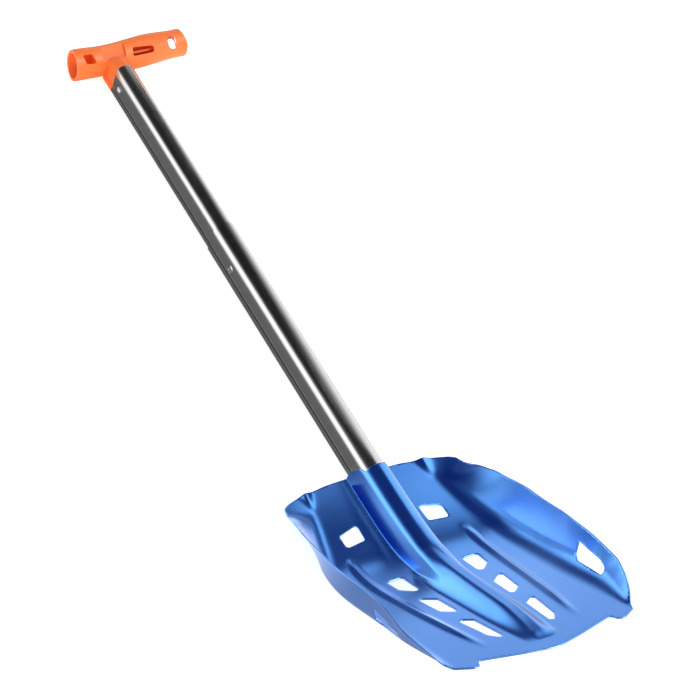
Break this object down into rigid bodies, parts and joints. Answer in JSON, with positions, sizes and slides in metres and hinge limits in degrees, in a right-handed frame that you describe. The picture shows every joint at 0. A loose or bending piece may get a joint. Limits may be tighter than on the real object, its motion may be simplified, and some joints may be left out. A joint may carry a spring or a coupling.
{
  "type": "avalanche shovel",
  "caption": "Pressed alloy scoop with lightening holes, telescopic D-section shaft held by snap buttons, and a moulded T-grip.",
  "frame": {"origin": "on the flat back of the socket tray, below the front edge of the socket, midway across the blade", "axes": "+Y along the shaft towards the grip, +Z out of the scooping face, +X to the right seen from that face; the shovel lies on its back"},
  "size_m": [0.224, 0.922, 0.1423],
  "materials": {
    "anodised_blade": "blue anodised, satin",
    "polished_tube": "polished, clear anodised",
    "orange_plastic": "fine moulded grain",
    "black_plastic": "moulded",
    "steel_hardware": "bright"
  },
  "bodies": {
    "blade": {"blade": "anodised_blade", "socket_tray": "anodised_blade"},
    "lower_shaft": {"lower_tube": "polished_tube", "lower_tube_end_cap": "black_plastic", "blade_lock_spring": "steel_hardware"},
    "upper_shaft": {"upper_tube": "polished_tube", "upper_tube_glide": "black_plastic", "telescope_spring": "steel_hardware", "grip_body": "orange_plastic", "grip_rivet": "steel_hardware"},
    "telescope_button": {"telescope_button": "steel_hardware"},
    "blade_button": {"blade_lock_button": "steel_hardware"}
  },
  "joints": [
    {"name": "shaft_removal", "type": "slide", "parent": "blade", "child": "lower_shaft", "axis": [0, 1, 0], "range_m": [0, 0.12], "deforming": ["blade_lock_button", "blade_lock_spring"]},
    {"name": "telescope_slide", "type": "slide", "parent": "lower_shaft", "child": "upper_shaft", "axis": [0, -1, 0], "range_m": [0, 0.222], "deforming": ["telescope_button", "telescope_spring"]},
    {"name": "telescope_button_press", "type": "slide", "parent": "upper_shaft", "child": "telescope_button", "axis": [1, 0, 0], "range_m": [0, 0.0025], "stiffness_N_per_m": 800, "springref_m": -0.002, "deforming": ["telescope_spring"]},
    {"name": "blade_button_press", "type": "slide", "parent": "lower_shaft", "child": "blade_button", "axis": [0, 0, 1], "range_m": [0, 0.0045], "stiffness_N_per_m": 800, "springref_m": -0.002, "deforming": ["blade_lock_spring"]}
  ]
}
